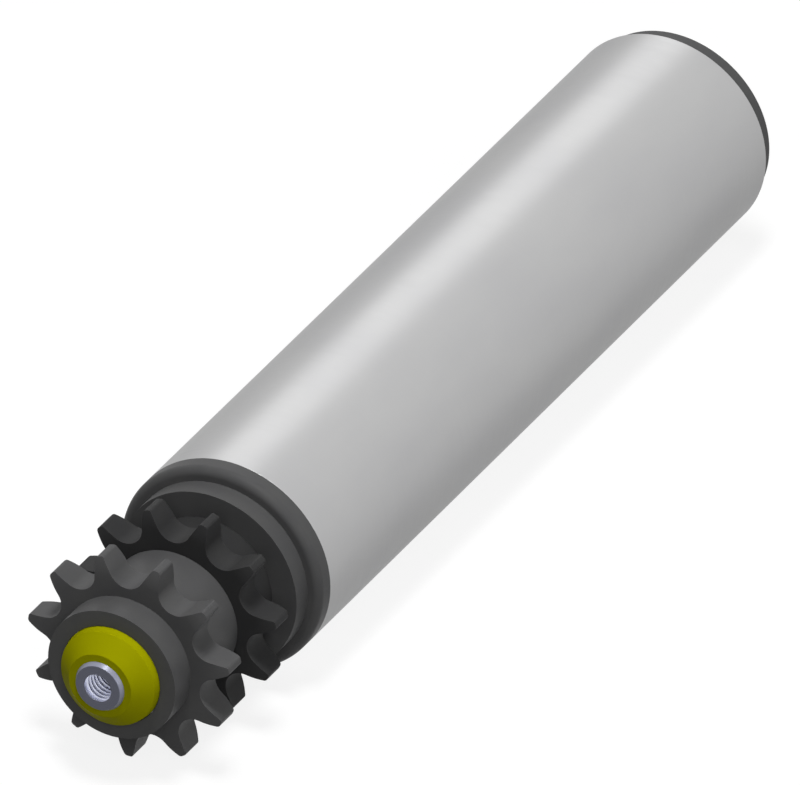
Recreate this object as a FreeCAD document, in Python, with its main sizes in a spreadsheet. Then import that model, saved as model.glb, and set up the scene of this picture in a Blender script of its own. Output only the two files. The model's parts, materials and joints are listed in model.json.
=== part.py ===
import FreeCAD, Part
import math
import os
from types import SimpleNamespace

import Sketcher

# A fixed drive conveyor roller with a double chain sprocket head, in millimetres.
# The axis is X and the frame starts at the drive end face of the shaft: the sprockets come
# first, then the tube, then the idle end. +Z is up, and one tooth gap of each sprocket points up.

SIZES = {
    # tube
    "tube_radius": 25.0,
    "tube_wall": 1.5,
    "tube_length": 207.0,
    "tube_fit": 0.05,
    # shaft
    "shaft_radius": 6.0,
    "shaft_chamfer": 0.7,
    "shaft_stickout": 1.1,
    "thread_core_radius": 3.3,
    "thread_depth": 20.0,
    "drill_point_angle": 118.0,
    # seals
    "seal_height": 5.3,
    "seal_rim_height": 1.8,
    "seal_play": 0.13,
    "seal_rim_slope": 0.33,
    "seal_face_radius": 7.72,
    "seal_skirt": 1.3,
    "seal_wall": 1.4,
    # sprockets, for a half inch chain
    "teeth": 11,
    "chain_pitch": 12.7,
    "tip_radius": 25.05,
    "seat_radius": 4.3,
    "seat_angle": 120.0,
    "flank_radius": 50.0,
    "tip_rounding": 0.7,
    "sprocket_width": 7.2,
    "sprocket_spacing": 21.75,
    "relief_radius": 13.0,
    "relief_depth": 0.8,
    "hub_radius": 15.73,
    "boss_height": 7.0,
    "rear_hub_length": 8.85,
    # drive housing
    "ring_radius": 21.85,
    "ring_height": 5.0,
    "flange_height": 4.8,
    "flange_rounding": 1.8,
    "neck_radius": 12.6,
    "neck_bore_radius": 8.0,
    "neck_fit": 0.05,
    "key_count": 4,
    "key_width": 5.0,
    "key_height": 1.1,
    # both housings inside the tube
    "spigot_length": 22.0,
    "spigot_wall": 3.2,
    "lead_in": 1.0,
    "web_thickness": 3.0,
    "core_wall": 3.2,
    "core_length": 17.0,
    "rib_count": 6,
    "rib_thickness": 2.2,
    # idle housing
    "idle_height": 4.75,
    "idle_chamfer": 0.7,
    # bearings
    "bearing_radius": 12.0,
    "bearing_width": 6.0,
    "bearing_depth": 1.9,
    "shoulder_thickness": 2.0,
    "shoulder_height": 1.8,
    "race_wall": 1.3825,
    "ball_count": 10,
    "ball_play": 0.03,
    "shield_thickness": 0.4,
    "shield_inset": 0.2,
    "shield_play": 0.2,
    "cage_reach": 1.3,
    "cage_web": 0.5,
    "cage_wall": 1.8,
    "pocket_play": 0.07,
    # circlips
    "groove_depth": 0.25,
    "circlip_thickness": 1.0,
    "circlip_play": 0.1,
    "circlip_radius": 7.4,
    "lug_radius": 9.2,
    "lug_width": 2.4,
    "lug_gap": 2.2,
    "lug_hole_radius": 0.75,
}

LEFT, RIGHT = 1, -1


class Size:
    """A size that stays bound to the sheet: its value now, and the formula that gives it."""

    def __init__(self, value, formula):
        self.value = value
        self.formula = formula

    def __add__(self, other):
        return Size(self.value + number(other), f"({self.formula} + {wording(other)})")

    def __sub__(self, other):
        return Size(self.value - number(other), f"({self.formula} - {wording(other)})")

    def __mul__(self, other):
        return Size(self.value * number(other), f"({self.formula} * {wording(other)})")

    def __truediv__(self, other):
        return Size(self.value / number(other), f"({self.formula} / {wording(other)})")

    def __neg__(self):
        return Size(-self.value, f"(0 - {self.formula})")


def number(term):
    return term.value if isinstance(term, Size) else term


def wording(term):
    return term.formula if isinstance(term, Size) else repr(term)


def sine(angle):
    return Size(math.sin(math.radians(angle.value)), f"sin({angle.formula})")


def cosine(angle):
    return Size(math.cos(math.radians(angle.value)), f"cos({angle.formula})")


def tangent(angle):
    return Size(math.tan(math.radians(angle.value)), f"tan({angle.formula})")


def square(term):
    return Size(term.value**2, f"({term.formula} ^ 2)")


def root(term):
    return Size(math.sqrt(term.value), f"sqrt({term.formula})")


doc = FreeCAD.newDocument("ConveyorRoller")
sheet = doc.addObject("Spreadsheet::Sheet", "Sizes")
for row, (name, value) in enumerate(SIZES.items(), start=1):
    sheet.set(f"A{row}", name)
    sheet.set(f"B{row}", str(value))
    sheet.setAlias(f"B{row}", name)
doc.recompute()

s = SimpleNamespace(**{name: Size(value, f"Sizes.{name}") for name, value in SIZES.items()})
zero = Size(0.0, "0")

# Places along the axis, each from the one before it.
boss_face = s.shaft_stickout + s.seal_height
front_face = boss_face + s.boss_height
front_back = front_face + s.sprocket_width
rear_face = front_face + s.sprocket_spacing
rear_back = rear_face + s.sprocket_width
ring_face = rear_back + s.rear_hub_length
flange_face = ring_face + s.ring_height
tube_start = flange_face + s.flange_height
tube_end = tube_start + s.tube_length
idle_face = tube_end + s.idle_height
shaft_end = idle_face + s.seal_height + s.shaft_stickout

# Both ends of the shaft carry the same seal, bearing and circlip, at the same depth.
bearing_start = boss_face + s.bearing_depth
bearing_end = bearing_start + s.bearing_width
shoulder_end = bearing_end + s.shoulder_thickness
shoulder_radius = s.bearing_radius - s.shoulder_height
outer_race = s.bearing_radius - s.race_wall
inner_race = s.shaft_radius + s.race_wall
ball_circle = (outer_race + inner_race) / 2
ball_radius = (outer_race - inner_race) / 2 - s.ball_play
spigot_radius = s.tube_radius - s.tube_wall - s.tube_fit


def origin_part(body, role):
    return next(part for part in body.Origin.OriginFeatures if part.Role == role)


def edge_between(start, corner):
    """The edge that arrives at a corner, and which of its ends are its start and its finish."""
    a = FreeCAD.Vector(start[0].value, start[1].value, 0)
    b = FreeCAD.Vector(corner[0].value, corner[1].value, 0)
    if len(corner) == 2:
        return Part.LineSegment(a, b), 1, 2
    radius, side = corner[2].value, corner[3]
    chord = b - a
    height = radius - math.sqrt(radius**2 - (chord.Length / 2) ** 2)
    outward = FreeCAD.Vector(-chord.y, chord.x, 0).normalize() * (side * height)
    arc = Part.Arc(a, a + chord / 2 + outward, b)
    return (arc, 2, 1) if side == LEFT else (arc, 1, 2)


def draw(sketch, outline):
    """A closed outline: (u, v) ends a straight edge, and (u, v, radius, side) an arc that bulges
    to that side of the way. Each corner is dimensioned from the sketch's origin."""
    first_edge = sketch.GeometryCount
    ends = []
    for index, corner in enumerate(outline):
        edge, begin, finish = edge_between(outline[index - 1], corner)
        sketch.addGeometry(edge, False)
        ends.append((first_edge + index, begin, finish))
    for index, corner in enumerate(outline):
        edge, begin, finish = ends[index]
        after, after_begin, _ = ends[(index + 1) % len(outline)]
        sketch.addConstraint(Sketcher.Constraint("Coincident", edge, finish, after, after_begin))
        for kind, place in (("DistanceX", corner[0]), ("DistanceY", corner[1])):
            rule = Sketcher.Constraint(kind, -1, 1, edge, finish, place.value)
            bind(sketch, sketch.addConstraint(rule), place)
        if len(corner) > 2:
            rule = Sketcher.Constraint("Radius", edge, corner[2].value)
            bind(sketch, sketch.addConstraint(rule), corner[2])


def draw_hole(sketch, centre, radius):
    middle = FreeCAD.Vector(centre[0].value, centre[1].value, 0)
    circle = sketch.addGeometry(Part.Circle(middle, FreeCAD.Vector(0, 0, 1), radius.value), False)
    for kind, place in (("DistanceX", centre[0]), ("DistanceY", centre[1])):
        rule = Sketcher.Constraint(kind, -1, 1, circle, 3, place.value)
        bind(sketch, sketch.addConstraint(rule), place)
    rule = Sketcher.Constraint("Radius", circle, radius.value)
    bind(sketch, sketch.addConstraint(rule), radius)


def bind(sketch, index, place):
    sketch.setExpression(f"Constraints[{index}]", place.formula)


def new_sketch(body, name, plane):
    sketch = body.newObject("Sketcher::SketchObject", name)
    sketch.AttachmentSupport = (origin_part(body, plane), [""])
    sketch.MapMode = "FlatFace"
    return sketch


def turned(label, outline):
    """A piece turned about the axis from its half section, given as (place along X, radius)."""
    body = doc.addObject("PartDesign::Body", label)
    body.Label = label
    sketch = new_sketch(body, f"{label}_section", "XZ_Plane")
    draw(sketch, outline)
    turn = body.newObject("PartDesign::Revolution", f"{label}_turn")
    turn.Profile = sketch
    turn.ReferenceAxis = (sketch, ["H_Axis"])
    turn.Angle = 360
    body.Tip = turn
    return body


def cross_section(body, name, start, outline, holes=()):
    """A sketch across the axis at a place along X, drawn as (Y, Z)."""
    sketch = new_sketch(body, f"{name}_sketch", "YZ_Plane")
    sketch.setExpression("AttachmentOffset.Base.z", start.formula)
    if outline:
        draw(sketch, outline)
    for centre, radius in holes:
        draw_hole(sketch, centre, radius)
    return sketch


def add_along(body, name, start, length, outline):
    pad = body.newObject("PartDesign::Pad", name)
    pad.Profile = cross_section(body, name, start, outline)
    pad.setExpression("Length", length.formula)
    body.Tip = pad
    return pad


def cut_along(body, name, start, length, outline, holes=()):
    pocket = body.newObject("PartDesign::Pocket", name)
    pocket.Profile = cross_section(body, name, start, outline, holes)
    pocket.setExpression("Length", length.formula)
    pocket.Reversed = True
    body.Tip = pocket
    return pocket


def repeat_round(body, feature, count):
    pattern = body.newObject("PartDesign::PolarPattern", f"{feature.Name}_round")
    pattern.Originals = [feature]
    pattern.Axis = (origin_part(body, "X_Axis"), [""])
    pattern.Angle = 360
    pattern.setExpression("Occurrences", count.formula)
    body.Tip = pattern


def block(half_width, bottom, top):
    return [(half_width, bottom), (half_width, top), (-half_width, top), (-half_width, bottom)]


def seat(body, side, depth):
    """Places a piece at its depth from one end face of the shaft, and faces it to that end."""
    if side == "idle":
        half_turn = FreeCAD.Rotation(FreeCAD.Vector(0, 0, 1), 180)
        body.Placement = FreeCAD.Placement(FreeCAD.Vector(0, 0, 0), half_turn)
        depth = shaft_end - depth
    body.setExpression("Placement.Base.x", depth.formula)


def tube():
    inside = s.tube_radius - s.tube_wall
    return turned("tube", [
        (tube_start, inside),
        (tube_start, s.tube_radius),
        (tube_end, s.tube_radius),
        (tube_end, inside),
    ])


def shaft():
    """A plain round shaft, tapped at both ends, with a circlip groove inboard of each bearing."""
    half_point = s.drill_point_angle / 2
    hole_tip = s.thread_depth + s.thread_core_radius / tangent(half_point)
    face_edge = s.shaft_radius - s.shaft_chamfer
    groove_floor = s.shaft_radius - s.groove_depth
    groove_end = bearing_end + s.circlip_thickness + s.circlip_play
    return turned("shaft", [
        (hole_tip, zero),
        (s.thread_depth, s.thread_core_radius),
        (zero, s.thread_core_radius),
        (zero, face_edge),
        (s.shaft_chamfer, s.shaft_radius),
        (bearing_end, s.shaft_radius),
        (bearing_end, groove_floor),
        (groove_end, groove_floor),
        (groove_end, s.shaft_radius),
        (shaft_end - groove_end, s.shaft_radius),
        (shaft_end - groove_end, groove_floor),
        (shaft_end - bearing_end, groove_floor),
        (shaft_end - bearing_end, s.shaft_radius),
        (shaft_end - s.shaft_chamfer, s.shaft_radius),
        (shaft_end, face_edge),
        (shaft_end, s.thread_core_radius),
        (shaft_end - s.thread_depth, s.thread_core_radius),
        (shaft_end - hole_tip, zero),
    ])


def sprocket_section(face, back):
    """The edge of a sprocket's half section, from its face over the tooth tips to its back: the
    tooth sides are rounded off towards the tips."""
    overhang = root(square(s.relief_radius) - square(s.relief_radius - s.relief_depth))
    relief_start = s.tip_radius - overhang
    return [
        (face, relief_start),
        (face + s.relief_depth, s.tip_radius, s.relief_radius, LEFT),
        (back - s.relief_depth, s.tip_radius),
        (back, relief_start, s.relief_radius, LEFT),
    ]


def cut_teeth(body, name, face):
    """Cuts the gaps between the teeth: a round seat for the chain's roller, between two flanks
    that bulge a little towards it and round over into the tips. Both corners of a rounding are
    tangent points, so its centre is where its distances from the axis and from the flank's centre
    meet."""
    half_seat = s.seat_angle / 2
    pitch_radius = s.chain_pitch / (sine(Size(180.0, "180") / s.teeth) * 2)
    seat_side = s.seat_radius * sine(half_seat)
    seat_top = pitch_radius - s.seat_radius * cosine(half_seat)
    flank_side = (s.seat_radius + s.flank_radius) * sine(half_seat)
    flank_middle = pitch_radius - (s.seat_radius + s.flank_radius) * cosine(half_seat)
    from_axis = s.tip_radius - s.tip_rounding
    from_flank = s.flank_radius - s.tip_rounding
    spacing = square(flank_side) + square(flank_middle)
    along = (spacing + square(from_axis) - square(from_flank)) / (spacing * 2)
    across = root(square(from_axis) / spacing - square(along))
    round_side = flank_side * along - flank_middle * across
    round_middle = flank_middle * along + flank_side * across
    tip_side = round_side * s.tip_radius / from_axis
    tip_top = round_middle * s.tip_radius / from_axis
    flank_end = flank_side + (round_side - flank_side) * s.flank_radius / from_flank
    flank_top = flank_middle + (round_middle - flank_middle) * s.flank_radius / from_flank
    mouth = s.tip_radius + s.seat_radius
    gap = cut_along(body, name, face, s.sprocket_width, [
        (-tip_side, mouth),
        (-tip_side, tip_top),
        (-flank_end, flank_top, s.tip_rounding, LEFT),
        (-seat_side, seat_top, s.flank_radius, LEFT),
        (seat_side, seat_top, s.seat_radius, RIGHT),
        (flank_end, flank_top, s.flank_radius, LEFT),
        (tip_side, tip_top, s.tip_rounding, LEFT),
        (tip_side, mouth),
    ])
    repeat_round(body, gap, s.teeth)


def cut_keyways(body, name, start, length):
    half_width = s.key_width / 2 + s.neck_fit
    bottom = s.neck_radius - s.key_height
    top = s.neck_radius + s.key_height + s.neck_fit
    keyway = cut_along(body, name, start, length, block(half_width, bottom, top))
    repeat_round(body, keyway, s.key_count)


def front_sprocket():
    """Boss with the bearing seat, toothed disc and long hub, moulded in one."""
    bore = s.neck_radius + s.neck_fit
    body = turned("front_sprocket", [
        (boss_face, s.bearing_radius),
        (boss_face, s.hub_radius),
        (front_face, s.hub_radius),
        *sprocket_section(front_face, front_back),
        (front_back, s.hub_radius),
        (rear_face, s.hub_radius),
        (rear_face, bore),
        (shoulder_end, bore),
        (shoulder_end, shoulder_radius),
        (bearing_end, shoulder_radius),
        (bearing_end, s.bearing_radius),
    ])
    cut_teeth(body, "front_gap", front_face)
    cut_keyways(body, "front_keyway", shoulder_end, rear_face - shoulder_end)
    return body


def rear_sprocket():
    """Toothed disc and the hub that spaces it from the drive housing."""
    bore = s.neck_radius + s.neck_fit
    body = turned("rear_sprocket", [
        (rear_face, bore),
        *sprocket_section(rear_face, rear_back),
        (rear_back, s.hub_radius),
        (ring_face, s.hub_radius),
        (ring_face, bore),
    ])
    cut_teeth(body, "rear_gap", rear_face)
    cut_keyways(body, "rear_keyway", rear_face, ring_face - rear_face)
    return body


def add_ribs(body, name, start, length, inside, outside):
    """Ribs that tie a housing's skirt to its core. They reach into both walls, so that the round
    walls close on them."""
    rib = add_along(body, name, start, length,
                    block(s.rib_thickness / 2, inside - s.core_wall / 2, outside + s.spigot_wall / 4))
    repeat_round(body, rib, s.rib_count)


def drive_housing():
    """Flange, step ring and the keyed neck that carries the sprockets, with a cored and ribbed
    spigot inside the tube."""
    spigot_end = tube_start + s.spigot_length
    core_end = tube_start + s.core_length
    skirt_inside = spigot_radius - s.spigot_wall
    core_outside = s.neck_bore_radius + s.core_wall
    web_back = ring_face + s.web_thickness
    body = turned("drive_housing", [
        (shoulder_end, s.neck_bore_radius),
        (shoulder_end, s.neck_radius),
        (ring_face, s.neck_radius),
        (ring_face, s.ring_radius),
        (flange_face, s.ring_radius),
        (flange_face, s.tube_radius - s.flange_rounding),
        (flange_face + s.flange_rounding, s.tube_radius, s.flange_rounding, LEFT),
        (tube_start, s.tube_radius),
        (tube_start, spigot_radius),
        (spigot_end - s.lead_in, spigot_radius),
        (spigot_end, spigot_radius - s.lead_in / 2),
        (spigot_end, skirt_inside),
        (flange_face + s.web_thickness, skirt_inside),
        (web_back, s.ring_radius - s.spigot_wall),
        (web_back, core_outside),
        (core_end, core_outside),
        (core_end, s.neck_bore_radius),
    ])
    add_ribs(body, "drive_rib", web_back - s.web_thickness / 2, core_end - web_back,
             core_outside, skirt_inside)
    key = add_along(body, "neck_key", shoulder_end, ring_face - shoulder_end,
                    block(s.key_width / 2, s.neck_radius - s.key_height, s.neck_radius + s.key_height))
    repeat_round(body, key, s.key_count)
    return body


def idle_housing():
    """A cored and ribbed plug with the idle bearing seat, drawn from the idle end of the shaft."""
    plug_end = boss_face + s.idle_height + s.spigot_length
    core_end = bearing_end + s.shoulder_thickness
    skirt_inside = spigot_radius - s.spigot_wall
    core_outside = s.bearing_radius + s.core_wall
    web_back = boss_face + s.web_thickness
    body = turned("idle_housing", [
        (boss_face, s.bearing_radius),
        (boss_face, spigot_radius - s.idle_chamfer),
        (boss_face + s.idle_chamfer, spigot_radius),
        (plug_end - s.lead_in, spigot_radius),
        (plug_end, spigot_radius - s.lead_in / 2),
        (plug_end, skirt_inside),
        (web_back, skirt_inside),
        (web_back, core_outside),
        (core_end, core_outside),
        (core_end, shoulder_radius),
        (bearing_end, shoulder_radius),
        (bearing_end, s.bearing_radius),
    ])
    add_ribs(body, "idle_rib", web_back - s.web_thickness / 2, core_end - web_back,
             core_outside, skirt_inside)
    seat(body, "idle", zero)
    return body


def seal(side):
    """A thin moulded cap on the shaft: a narrow rim, a cone and a flat face outside, and a sleeve
    inside that rests against the inner ring."""
    rim_start = s.seal_height - s.seal_rim_height
    skirt_end = s.seal_height + s.seal_skirt
    sleeve_end = s.seal_height + s.bearing_depth
    sleeve_radius = s.shaft_radius + s.seal_wall
    rim_radius = s.bearing_radius - s.seal_play
    cone_radius = rim_radius - s.seal_rim_slope
    body = turned(f"{side}_seal", [
        (zero, s.shaft_radius),
        (zero, s.seal_face_radius),
        (rim_start, cone_radius),
        (s.seal_height, rim_radius),
        (skirt_end, rim_radius),
        (skirt_end, rim_radius - s.seal_wall),
        (rim_start + s.seal_wall, cone_radius - s.seal_wall),
        (s.seal_wall * 2, sleeve_radius),
        (sleeve_end, sleeve_radius),
        (sleeve_end, s.shaft_radius),
    ])
    seat(body, side, s.shaft_stickout)
    return body


def ring(side, name, start, width, inside, outside):
    body = turned(f"{side}_{name}", [
        (zero, inside),
        (zero, outside),
        (width, outside),
        (width, inside),
    ])
    seat(body, side, start)
    return body


def cage(side):
    """A moulded cage: a ring whose ball pockets are open towards the shaft's end."""
    inside = ball_circle - s.cage_wall / 2
    outside = ball_circle + s.cage_wall / 2
    pocket_half = ball_radius + s.pocket_play
    pocket_depth = s.cage_reach + pocket_half
    start = bearing_start + s.bearing_width / 2 - s.cage_reach
    body = ring(side, "bearing_cage", start, pocket_depth + s.cage_web, inside, outside)
    pocket = cut_along(body, f"{side}_pocket", zero, pocket_depth,
                       block(pocket_half, inside - s.cage_wall / 2, outside + s.cage_wall / 2))
    repeat_round(body, pocket, s.ball_count)
    return body


def balls(side):
    """One bearing's balls, each a sphere in its pocket of the cage."""
    middle = bearing_start + s.bearing_width / 2
    if side == "idle":
        middle = shaft_end - middle
    row = []
    for index in range(SIZES["ball_count"]):
        ball = doc.addObject("Part::Sphere", f"{side}_ball_{index + 1}")
        turn = f"({index} * 360 / Sizes.ball_count)"
        ball.setExpression("Radius", ball_radius.formula)
        ball.setExpression("Placement.Base.x", middle.formula)
        ball.setExpression("Placement.Base.y", f"{ball_circle.formula} * sin({turn})")
        ball.setExpression("Placement.Base.z", f"{ball_circle.formula} * cos({turn})")
        row.append(ball)
    return row


def bearing_balls():
    group = doc.addObject("Part::Compound", "bearing_balls")
    group.Label = "bearing_balls"
    group.Links = balls("drive") + balls("idle")
    return group


def circlip(side):
    """An open ring in the shaft's groove, with two lugs for pliers."""
    floor = s.shaft_radius - s.groove_depth
    half_lugs = s.lug_gap / 2 + s.lug_width
    body = ring(side, "circlip", bearing_end, s.circlip_thickness, floor, s.circlip_radius)
    add_along(body, f"{side}_lugs", zero, s.circlip_thickness,
              block(half_lugs, s.shaft_radius, s.lug_radius))
    cut_along(body, f"{side}_opening", zero, s.circlip_thickness,
              block(s.lug_gap / 2, zero, s.lug_radius + s.lug_gap))
    lug_middle = (s.lug_gap + s.lug_width) / 2
    hole_height = s.lug_radius - s.lug_width / 2
    cut_along(body, f"{side}_holes", zero, s.circlip_thickness, None,
              [((lug_middle, hole_height), s.lug_hole_radius),
               ((-lug_middle, hole_height), s.lug_hole_radius)])
    return body


def end_kit(side):
    """What the shaft carries at one end, each piece placed from that end's face."""
    shield_radius = inner_race + s.shield_play
    near = bearing_start + s.shield_inset
    far = bearing_end - s.shield_inset - s.shield_thickness
    return [
        seal(side),
        ring(side, "bearing_outer_ring", bearing_start, s.bearing_width, outer_race, s.bearing_radius),
        ring(side, "bearing_inner_ring", bearing_start, s.bearing_width, s.shaft_radius, inner_race),
        ring(side, "bearing_front_shield", near, s.shield_thickness, shield_radius, outer_race),
        ring(side, "bearing_back_shield", far, s.shield_thickness, shield_radius, outer_race),
        cage(side),
        circlip(side),
    ]


def check(nodes):
    for thing in doc.Objects:
        if "Invalid" in thing.State or "Error" in thing.State:
            raise RuntimeError(f"{thing.Name} failed: {thing.State}")
        if thing.TypeId == "PartDesign::Pocket" and thing.Shape.Volume >= thing.BaseFeature.Shape.Volume:
            raise RuntimeError(f"{thing.Name} cuts nothing")
    for body in nodes:
        solids = len(body.Links) if body.TypeId == "Part::Compound" else 1
        if body.Shape.isNull() or not body.Shape.isValid() or len(body.Shape.Solids) != solids:
            raise RuntimeError(f"{body.Label} does not have its {solids} valid solids")


nodes = [
    tube(),
    shaft(),
    drive_housing(),
    rear_sprocket(),
    front_sprocket(),
    idle_housing(),
    *end_kit("drive"),
    *end_kit("idle"),
    bearing_balls(),
]
doc.recompute()
check(nodes)
os.makedirs("parts", exist_ok=True)
for body in nodes:
    body.Shape.exportStep(f"parts/{body.Label}.step")
    print(body.Label, round(body.Shape.Volume, 1), "mm3")
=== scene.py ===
import json
import math

import bmesh
import bpy
from mathutils import Matrix, Vector


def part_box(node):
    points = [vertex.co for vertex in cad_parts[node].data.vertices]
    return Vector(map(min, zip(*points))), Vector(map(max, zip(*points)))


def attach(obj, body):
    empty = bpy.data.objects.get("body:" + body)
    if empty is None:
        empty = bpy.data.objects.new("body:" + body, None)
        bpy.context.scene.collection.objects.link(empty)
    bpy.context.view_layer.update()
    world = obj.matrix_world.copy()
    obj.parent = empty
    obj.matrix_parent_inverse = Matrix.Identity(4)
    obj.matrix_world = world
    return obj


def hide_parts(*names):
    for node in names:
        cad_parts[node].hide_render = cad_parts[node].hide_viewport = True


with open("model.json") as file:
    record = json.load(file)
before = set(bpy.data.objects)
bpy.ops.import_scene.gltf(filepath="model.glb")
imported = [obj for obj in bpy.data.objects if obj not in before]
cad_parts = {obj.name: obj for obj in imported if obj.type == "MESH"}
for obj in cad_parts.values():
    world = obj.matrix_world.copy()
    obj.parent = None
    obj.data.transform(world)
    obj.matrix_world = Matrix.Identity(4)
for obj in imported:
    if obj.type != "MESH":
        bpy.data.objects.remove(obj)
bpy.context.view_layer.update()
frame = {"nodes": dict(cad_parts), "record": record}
nodes = frame["nodes"]

MM = 0.001

# how finely round forms are divided, and which edges are rounded off or stay sharp
ROUND_STEPS = 192
ROUNDING_STEPS = 3
ROUNDED_FROM = math.radians(25)
SHARP_FROM = math.radians(40)
WELDED_WITHIN = 0.001 * MM

# the threads in the shaft's ends
THREAD_PITCH = 1.25 * MM
THREAD_CORE = 3.3 * MM
THREAD_ROOT = 4.0 * MM
THREAD_START = 0.5 * MM
THREAD_END = 18.0 * MM


def colour(red, green, blue):
    """A colour as it looks on screen, from 0 to 255, turned to the linear light of shaders."""
    light = []
    for part in (red, green, blue):
        part /= 255
        light.append(part / 12.92 if part <= 0.04045 else ((part + 0.055) / 1.055) ** 2.4)
    return (*light, 1.0)


class Finish:
    """A material made of plain steps: each method adds a node and gives back its output."""

    def __init__(self, name, **constants):
        self.material = bpy.data.materials.new(name)
        self.material.use_nodes = True
        self.tree = self.material.node_tree
        self.shader = self.tree.nodes["Principled BSDF"]
        for socket, value in constants.items():
            self.shader.inputs[socket.replace("_", " ")].default_value = value
        self.place = self.add("ShaderNodeTexCoord").outputs["Object"]

    def add(self, kind, **settings):
        node = self.tree.nodes.new(kind)
        for name, value in settings.items():
            setattr(node, name, value)
        return node

    def link(self, source, node, socket):
        """Feeds a socket from another node's output, or sets it to a constant."""
        if isinstance(source, bpy.types.NodeSocket):
            self.tree.links.new(source, node.inputs[socket])
        else:
            node.inputs[socket].default_value = source

    def grain(self, size, stretch=(1, 1, 1), detail=3.0):
        """Noise whose lumps are about that many millimetres, times stretch along each axis."""
        mapping = self.add("ShaderNodeMapping")
        self.link(self.place, mapping, "Vector")
        mapping.inputs["Scale"].default_value = [1 / (size * MM * part) for part in stretch]
        noise = self.add("ShaderNodeTexNoise")
        self.link(mapping.outputs["Vector"], noise, "Vector")
        noise.inputs["Scale"].default_value = 1.0
        noise.inputs["Detail"].default_value = detail
        return noise.outputs["Fac"]

    def from_axis(self):
        """The distance from the shaft's axis, in metres."""
        across = self.add("ShaderNodeVectorMath", operation="MULTIPLY")
        self.link(self.place, across, 0)
        across.inputs[1].default_value = (0, 1, 1)
        length = self.add("ShaderNodeVectorMath", operation="LENGTH")
        self.link(across.outputs["Vector"], length, 0)
        return length.outputs["Value"]

    def between_faces(self, low, high):
        """One between two places along X, and none on the faces there."""
        margin = 0.05 * MM
        along = self.add("ShaderNodeSeparateXYZ")
        self.link(self.place, along, "Vector")
        inside = self.add("ShaderNodeMath", operation="COMPARE")
        self.link(along.outputs["X"], inside, 0)
        inside.inputs[1].default_value = (low + high) / 2
        inside.inputs[2].default_value = (high - low) / 2 - margin
        return inside.outputs["Value"]

    def product(self, first, second):
        both = self.add("ShaderNodeMath", operation="MULTIPLY")
        self.link(first, both, 0)
        self.link(second, both, 1)
        return both.outputs["Value"]

    def rings(self, size):
        """Noise that changes only with the distance from the axis, as a facing tool leaves it."""
        noise = self.add("ShaderNodeTexNoise", noise_dimensions="1D")
        self.link(self.product(self.from_axis(), 1 / (size * MM)), noise, "W")
        noise.inputs["Scale"].default_value = 1.0
        return noise.outputs["Fac"]

    def soft_edges(self, radius):
        """The normal of a surface whose edges are rounded off by that many millimetres."""
        rounded = self.add("ShaderNodeBevel", samples=6)
        rounded.inputs["Radius"].default_value = radius * MM
        return rounded.outputs["Normal"]

    def near_edges(self, rounded):
        """Up to one on an edge, where the rounded normal turns away, and none elsewhere."""
        straight = self.add("ShaderNodeNewGeometry").outputs["Normal"]
        alike = self.add("ShaderNodeVectorMath", operation="DOT_PRODUCT")
        self.link(rounded, alike, 0)
        self.link(straight, alike, 1)
        return self.spread(alike.outputs["Value"], 1.0, 0.0, start=0.75, end=0.99)

    def spread(self, source, low, high, start=0.3, end=0.7):
        """Carries a value from start..end over to low..high."""
        ranged = self.add("ShaderNodeMapRange")
        self.link(source, ranged, "Value")
        for socket, value in (("From Min", start), ("From Max", end),
                              ("To Min", low), ("To Max", high)):
            ranged.inputs[socket].default_value = value
        return ranged.outputs["Result"]

    def blend(self, factor, first, second):
        mix = self.add("ShaderNodeMix", data_type="RGBA")
        first_colour, second_colour, mixed_colour = 6, 7, 2
        self.link(factor, mix, "Factor")
        self.link(first, mix, first_colour)
        self.link(second, mix, second_colour)
        return mix.outputs[mixed_colour]

    def bumps(self, height, depth, before=None):
        """Raises the surface by up to that many millimetres where height is 1."""
        bump = self.add("ShaderNodeBump")
        bump.inputs["Strength"].default_value = 1.0
        bump.inputs["Distance"].default_value = depth * MM
        self.link(height, bump, "Height")
        if before is not None:
            self.link(before, bump, "Normal")
        return bump.outputs["Normal"]

    def finish(self, **sources):
        for socket, source in sources.items():
            self.link(source, self.shader, socket.replace("_", " "))
        return self.material


def ground_steel(name, light, dark, metal, roughness, gloss=0.5, rim=1.0):
    """Steel ground round the axis: fine lines across the length, and faint clouds in the plating.
    A rim below 1 dulls it where it is seen edge on."""
    finish = Finish(name, Metallic=metal, Specular_IOR_Level=gloss,
                    Specular_Tint=(rim, rim, rim, 1))
    lines = finish.grain(0.35, stretch=(1, 40, 40), detail=4.0)
    clouds = finish.grain(14.0, stretch=(2.5, 1, 1))
    return finish.finish(
        Base_Color=finish.blend(finish.spread(clouds, 0.0, 1.0), light, dark),
        Roughness=finish.spread(lines, roughness - 0.04, roughness + 0.05),
        Normal=finish.bumps(finish.rings(0.2), 0.002, finish.bumps(lines, 0.002)),
    )


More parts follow.
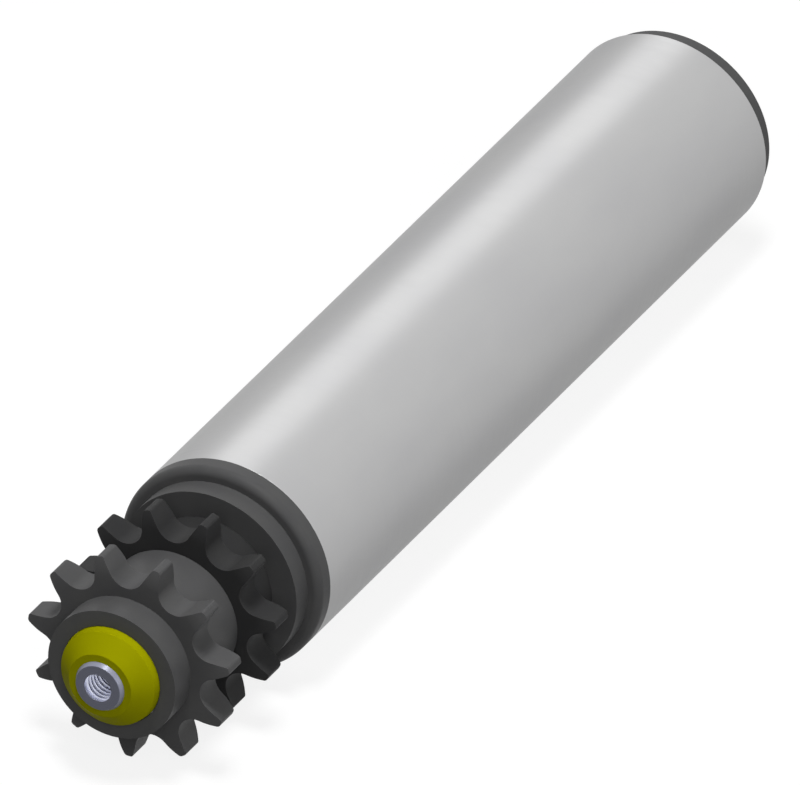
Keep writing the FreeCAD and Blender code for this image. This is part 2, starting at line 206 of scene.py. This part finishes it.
def drawn_steel(name, light, dark, painted_shade_face, thread):
    """A drawn steel bar: fine lines along its length, and turned rings on its end faces, whose
    colour is painted darker as shade. The threaded bore is painted light: paler and more metallic
    than the rest."""
    finish = Finish(name, Specular_IOR_Level=0.2)
    low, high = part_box("shaft")
    outside = finish.between_faces(low[0], high[0])
    # painted light: inside the threaded bore the colour is made far paler and the metal higher, to
    # stand in for light in the hole
    near_thread = finish.spread(finish.from_axis(), 1.0, 0.0,
                                start=THREAD_ROOT + 0.1 * MM, end=THREAD_ROOT + 0.3 * MM)
    painted_light_in_bore = finish.product(outside, near_thread)
    lines = finish.grain(0.12, stretch=(60, 1, 1), detail=2.0)
    turning = finish.rings(0.1)
    clouds = finish.grain(9.0, stretch=(3, 1, 1))
    drawn = finish.blend(finish.spread(clouds, 0.0, 1.0), light, dark)
    # painted shade: the end faces get a darker colour than the bar's side, with the turned rings in
    # it
    shaded_turned_face = finish.blend(finish.spread(turning, 0.0, 0.3), painted_shade_face, drawn)
    shade = finish.blend(outside, shaded_turned_face, drawn)
    return finish.finish(
        Base_Color=finish.blend(painted_light_in_bore, shade, thread),
        Metallic=finish.spread(painted_light_in_bore, 0.1, 0.75, start=0.0, end=1.0),
        Roughness=finish.spread(lines, 0.3, 0.4),
        Normal=finish.bumps(turning, 0.003, finish.bumps(lines, 0.001)),
    )


def moulded(name, light, dark, rubbed, roughness, gloss):
    """Moulded plastic: a fine sand grain from the tool, slight clouding, and edges that are
    rounded a little and rubbed paler."""
    finish = Finish(name, Specular_IOR_Level=gloss)
    sand = finish.grain(0.35)
    clouds = finish.grain(7.0)
    rounded = finish.soft_edges(0.12)
    shade = finish.blend(finish.spread(clouds, 0.0, 1.0), light, dark)
    return finish.finish(
        Base_Color=finish.blend(finish.near_edges(rounded), shade, rubbed),
        Roughness=finish.spread(sand, roughness - 0.05, roughness + 0.06),
        Normal=finish.bumps(sand, 0.009, rounded),
    )


materials = {
    "tube_steel": ground_steel(
        "tube_steel", light=colour(193, 193, 193), dark=colour(188, 188, 189),
        metal=0.5, roughness=0.36, gloss=0.1, rim=0.5),
    "shaft_steel": drawn_steel(
        "shaft_steel", light=colour(160, 163, 182), dark=colour(152, 155, 175),
        # the faced colour is painted shade on the end faces
        # the thread colour is painted light for the bore, far paler than the bar itself
        painted_shade_face=colour(102, 104, 118), thread=colour(226, 229, 246)),
    "charcoal_plastic": moulded(
        "charcoal_plastic", light=colour(89, 89, 89), dark=colour(85, 85, 86),
        rubbed=colour(104, 104, 104), roughness=0.5, gloss=0.1),
    "black_plastic": moulded(
        "black_plastic", light=colour(60, 60, 60), dark=colour(56, 56, 57),
        rubbed=colour(76, 76, 76), roughness=0.5, gloss=0.05),
    "yellow_plastic": moulded(
        "yellow_plastic", light=colour(169, 169, 3), dark=colour(164, 164, 2),
        rubbed=colour(186, 186, 14), roughness=0.45, gloss=0.005),
    "bearing_steel": ground_steel(
        "bearing_steel", light=colour(214, 215, 218), dark=colour(202, 203, 208),
        metal=1.0, roughness=0.2),
    "shield_steel": ground_steel(
        "shield_steel", light=colour(196, 196, 200), dark=colour(186, 186, 190),
        metal=1.0, roughness=0.35),
    "cage_plastic": moulded(
        "cage_plastic", light=colour(222, 214, 188), dark=colour(214, 205, 178),
        rubbed=colour(230, 224, 204), roughness=0.45, gloss=0.4),
    "spring_steel": ground_steel(
        "spring_steel", light=colour(92, 92, 98), dark=colour(78, 78, 84),
        metal=0.9, roughness=0.4),
}

slots = {part["node"]: part["material_slot"] for part in frame["record"]["subparts"]}
for name, slot in slots.items():
    node = nodes[name]
    node.data.materials.clear()
    node.data.materials.append(materials[slot])


def turned(section, closed):
    """A shape turned about the axis from its half section of (place along X, radius), in metres."""
    shape = bmesh.new()
    corners = [shape.verts.new((along, 0, radius)) for along, radius in section]
    edges = [shape.edges.new(pair) for pair in zip(corners, corners[1:])]
    if closed:
        edges.append(shape.edges.new((corners[-1], corners[0])))
    bmesh.ops.spin(shape, geom=corners + edges, cent=(0, 0, 0), axis=(1, 0, 0), dvec=(0, 0, 0),
                   angle=math.tau, steps=ROUND_STEPS, use_merge=True)
    bmesh.ops.remove_doubles(shape, verts=shape.verts, dist=WELDED_WITHIN)
    return shape


def soften(shape, radius):
    """Rounds off, by that many millimetres, the edges where the faces turn enough."""
    edges = [edge for edge in shape.edges if edge.calc_face_angle(0) > ROUNDED_FROM]
    bmesh.ops.bevel(shape, geom=edges, offset=radius * MM, offset_type="OFFSET",
                    segments=ROUNDING_STEPS, profile=0.5, affect="EDGES", material=-1)


def shade_evenly(mesh):
    """Lets faces that don't meet at a sharp edge share a normal, which follows the larger ones,
    so that a narrow rounding doesn't bend the look of the long faces beside it."""
    mesh.set_sharp_from_angle(angle=SHARP_FROM)
    facing = [face.normal.copy() for face in mesh.polygons]
    pull = [face.normal * face.area for face in mesh.polygons]
    meeting = [[] for _ in mesh.vertices]
    for face in mesh.polygons:
        for corner in face.vertices:
            meeting[corner].append(face.index)
    normals = []
    for face in mesh.polygons:
        for corner in face.vertices:
            shared = [pull[near] for near in meeting[corner]
                      if facing[near].dot(facing[face.index]) > math.cos(SHARP_FROM)]
            normals.append(sum(shared, Vector()).normalized())
    mesh.normals_split_custom_set(normals)


def stand_for(node, body, *shapes):
    """Makes the piece that is shown in place of a CAD node, with that node's finish."""
    mesh = bpy.data.meshes.new(f"{node}_detailed")
    whole = bmesh.new()
    for shape in shapes:
        bmesh.ops.recalc_face_normals(shape, faces=shape.faces)
        shape.to_mesh(mesh)
        shape.free()
        whole.from_mesh(mesh)
    for face in whole.faces:
        face.smooth = True
    whole.to_mesh(mesh)
    whole.free()
    shade_evenly(mesh)
    piece = bpy.data.objects.new(f"{node}_detailed", mesh)
    bpy.context.scene.collection.objects.link(piece)
    slot = slots[node]
    mesh.materials.append(materials[slot])
    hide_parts(node)
    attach(piece, body)


def tube():
    """The tube, with its cut ends deburred."""
    low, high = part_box("tube")
    outside, wall = high[2], 1.5 * MM
    shape = turned([
        (low[0], outside - wall),
        (low[0], outside),
        (high[0], outside),
        (high[0], outside - wall),
    ], closed=True)
    soften(shape, 0.1)
    stand_for("tube", "roller", shape)


def idle_housing():
    """The ribbed plug in the idle end, with the narrow rounding that its rim has in the
    photograph."""
    low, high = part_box("idle_housing")
    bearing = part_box("idle_bearing_outer_ring")
    rim, seat, seat_end = high[2], bearing[1][2], bearing[0][0]
    wall, web = 3.2 * MM, 3.0 * MM
    shoulder_thickness, shoulder_height = 2.0 * MM, 1.8 * MM
    lead_in_length, lead_in_depth = 1.0 * MM, 0.5 * MM
    rib_count, rib_thickness = 6, 2.2 * MM
    core, skirt = seat + wall, rim - wall
    core_end, web_back = seat_end - shoulder_thickness, high[0] - web
    shape = turned([
        (high[0], seat),
        (high[0], rim),
        (low[0] + lead_in_length, rim),
        (low[0], rim - lead_in_depth),
        (low[0], skirt),
        (web_back, skirt),
        (web_back, core),
        (core_end, core),
        (core_end, seat - shoulder_height),
        (seat_end, seat - shoulder_height),
        (seat_end, seat),
    ], closed=True)
    soften(shape, 0.2)
    # the ribs reach a little way into the core, the skirt and the web
    rib_end = web_back + web / 2
    rib_foot, rib_head = core - wall / 2, skirt + wall / 4
    ribs = []
    for number in range(rib_count):
        rib = bmesh.new()
        bmesh.ops.create_cube(rib, size=1.0)
        bmesh.ops.scale(rib, verts=rib.verts,
                        vec=(rib_end - core_end, rib_thickness, rib_head - rib_foot))
        bmesh.ops.translate(rib, verts=rib.verts,
                            vec=((rib_end + core_end) / 2, 0, (rib_head + rib_foot) / 2))
        bmesh.ops.rotate(rib, verts=rib.verts, cent=(0, 0, 0),
                         matrix=Matrix.Rotation(math.tau * number / rib_count, 3, "X"))
        ribs.append(rib)
    stand_for("idle_housing", "roller", shape, *ribs)


def thread(start):
    """The ridge of a right-hand thread, which turns about the axis as it goes into the shaft's
    end. It is cut off short of both ends of its groove."""
    turn_steps = 48
    turns = (THREAD_END - THREAD_START) / THREAD_PITCH - 0.75
    half_foot, half_crest = 0.44 * THREAD_PITCH, 0.125 * THREAD_PITCH
    sunk = THREAD_ROOT * 1.01
    first = start + THREAD_START + half_foot
    ridge = bmesh.new()
    corners = [ridge.verts.new((first + along, 0, radius)) for along, radius in (
        (-half_foot, sunk),
        (-half_crest, THREAD_CORE),
        (half_crest, THREAD_CORE),
        (half_foot, sunk),
    )]
    edges = [ridge.edges.new(pair) for pair in zip(corners, corners[1:] + corners[:1])]
    bmesh.ops.spin(ridge, geom=corners + edges, cent=(0, 0, 0), axis=(1, 0, 0),
                   dvec=(THREAD_PITCH / turn_steps, 0, 0), angle=math.tau * turns,
                   steps=round(turns * turn_steps), use_merge=False)
    bmesh.ops.holes_fill(ridge, edges=[edge for edge in ridge.edges if edge.is_boundary], sides=0)
    return ridge


def shaft():
    """The shaft, with its circlip grooves, the long shallow bevels that its ends have in the
    photograph, and the threads in them."""
    low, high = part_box("shaft")
    radius, middle = high[2], (low[0] + high[0]) / 2
    bevel_length, bevel_depth = 1.15 * MM, 0.58 * MM
    groove_depth, groove_play = 0.25 * MM, 0.1 * MM
    drill_depth, half_drill_angle = 20.0 * MM, math.radians(59)
    drill_tip = drill_depth + THREAD_CORE / math.tan(half_drill_angle)
    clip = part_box("drive_circlip")
    groove_start, groove_end = clip[0][0] - low[0], clip[1][0] - low[0] + groove_play
    end = [
        (drill_tip, 0),
        (drill_depth, THREAD_CORE),
        (THREAD_END, THREAD_CORE),
        (THREAD_END, THREAD_ROOT),
        (THREAD_START, THREAD_ROOT),
        (THREAD_START, THREAD_CORE),
        (0, THREAD_CORE),
        (0, radius - bevel_depth),
        (bevel_length, radius),
        (groove_start, radius),
        (groove_start, radius - groove_depth),
        (groove_end, radius - groove_depth),
        (groove_end, radius),
    ]
    near_end = [(low[0] + along, level) for along, level in end]
    far_end = [(high[0] - along, level) for along, level in reversed(end)]
    shape = turned(near_end + far_end, closed=False)
    soften(shape, 0.06)
    near_thread = thread(low[0])
    far_thread = near_thread.copy()
    bmesh.ops.rotate(far_thread, verts=far_thread.verts, cent=(middle, 0, 0),
                     matrix=Matrix.Rotation(math.pi, 3, "Z"))
    stand_for("shaft", "axle", shape, near_thread, far_thread)


def camera():
    """Stands far back with a long lens, because the photograph shows no perspective."""
    azimuth, elevation = math.radians(-62.1), math.radians(31.06)
    lens, sensor, picture_width = 1650, 36, 176.55 * MM
    middle = Vector((141.0, 0, 0)) * MM
    to_the_left, upwards = 0.126 * MM, 0.130 * MM
    level = math.cos(elevation)
    back = Vector((math.sin(azimuth) * level, -math.cos(azimuth) * level, math.sin(elevation)))
    turn = (-back).to_track_quat("-Z", "Y")
    right, up = turn @ Vector((1, 0, 0)), turn @ Vector((0, 1, 0))
    data = bpy.data.cameras.new("camera")
    data.lens, data.sensor_width = lens, sensor
    data.clip_start, data.clip_end = 1.0, 20.0
    eye = bpy.data.objects.new("camera", data)
    bpy.context.scene.collection.objects.link(eye)
    aim = middle - right * to_the_left + up * upwards
    eye.location = aim + back * (picture_width * lens / sensor)
    eye.rotation_mode = "QUATERNION"
    eye.rotation_quaternion = turn
    bpy.context.scene.camera = eye


def seen_directly(tree):
    """One for what the camera, a gloss or a clear material sees, and none for light on the
    object."""
    path = tree.nodes.new("ShaderNodeLightPath")
    result = path.outputs["Is Camera Ray"]
    for name in ("Is Glossy Ray", "Is Transmission Ray"):
        either = tree.nodes.new("ShaderNodeMath")
        either.operation = "MAXIMUM"
        tree.links.new(result, either.inputs[0])
        tree.links.new(path.outputs[name], either.inputs[1])
        result = either.outputs[0]
    return result


def surroundings(fill):
    """White where it is seen, and as strong as the fill where it lights the object."""
    world = bpy.data.worlds.new("studio")
    bpy.context.scene.world = world
    world.use_nodes = True
    tree = world.node_tree
    sky = tree.nodes["Background"]
    sky.inputs["Color"].default_value = (1, 1, 1, 1)
    strength = tree.nodes.new("ShaderNodeMapRange")
    tree.links.new(seen_directly(tree), strength.inputs["Value"])
    strength.inputs["To Min"].default_value = fill
    strength.inputs["To Max"].default_value = 1.0
    tree.links.new(strength.outputs["Result"], sky.inputs["Strength"])


def floor(glow):
    """A pale floor that the object lies on. It shows white, and still takes the object's shadow."""
    middle, drop, half_size = 0.14, 25.15 * MM, 6.0
    mesh = bpy.data.meshes.new("floor")
    shape = bmesh.new()
    bmesh.ops.create_grid(shape, x_segments=1, y_segments=1, size=half_size)
    bmesh.ops.translate(shape, verts=shape.verts, vec=(middle, 0, -drop))
    shape.to_mesh(mesh)
    shape.free()
    plane = bpy.data.objects.new("floor", mesh)
    bpy.context.scene.collection.objects.link(plane)
    material = bpy.data.materials.new("floor_paper")
    material.use_nodes = True
    tree = material.node_tree
    paper = tree.nodes["Principled BSDF"]
    paper.inputs["Base Color"].default_value = (0.2, 0.2, 0.2, 1)
    paper.inputs["Roughness"].default_value = 1.0
    paper.inputs["Specular IOR Level"].default_value = 0.0
    paper.inputs["Emission Color"].default_value = (1, 1, 1, 1)
    strength = tree.nodes.new("ShaderNodeMath")
    strength.operation = "MULTIPLY"
    strength.inputs[1].default_value = glow
    tree.links.new(seen_directly(tree), strength.inputs[0])
    tree.links.new(strength.outputs[0], paper.inputs["Emission Strength"])
    mesh.materials.append(material)


def lamp(name, place, size, power):
    """A soft lamp that faces the middle of the roller."""
    target = Vector((0.13, 0, 0))
    data = bpy.data.lights.new(name, "AREA")
    data.shape = "RECTANGLE"
    data.size, data.size_y = size
    data.energy = power
    light = bpy.data.objects.new(name, data)
    bpy.context.scene.collection.objects.link(light)
    light.location = place
    light.rotation_mode = "QUATERNION"
    light.rotation_quaternion = (target - Vector(place)).to_track_quat("-Z", "Y")
    light.visible_camera = False


tube()
idle_housing()
shaft()
camera()
surroundings(fill=0.07)
floor(glow=0.85)
lamp("overhead_lamp", place=(-0.2, -0.2, 2.5), size=(0.5, 0.8), power=39)
lamp("far_lamp", place=(3.9, 1.73, 2.61), size=(2.2, 2.2), power=22.5)
lamp("front_lamp", place=(-1.08, -0.64, 0.83), size=(0.8, 0.8), power=5.3)
lamp("side_lamp", place=(0.1, -1.5, 0.5), size=(0.6, 0.6), power=3.6)

bpy.context.scene.view_settings.view_transform = "Standard"
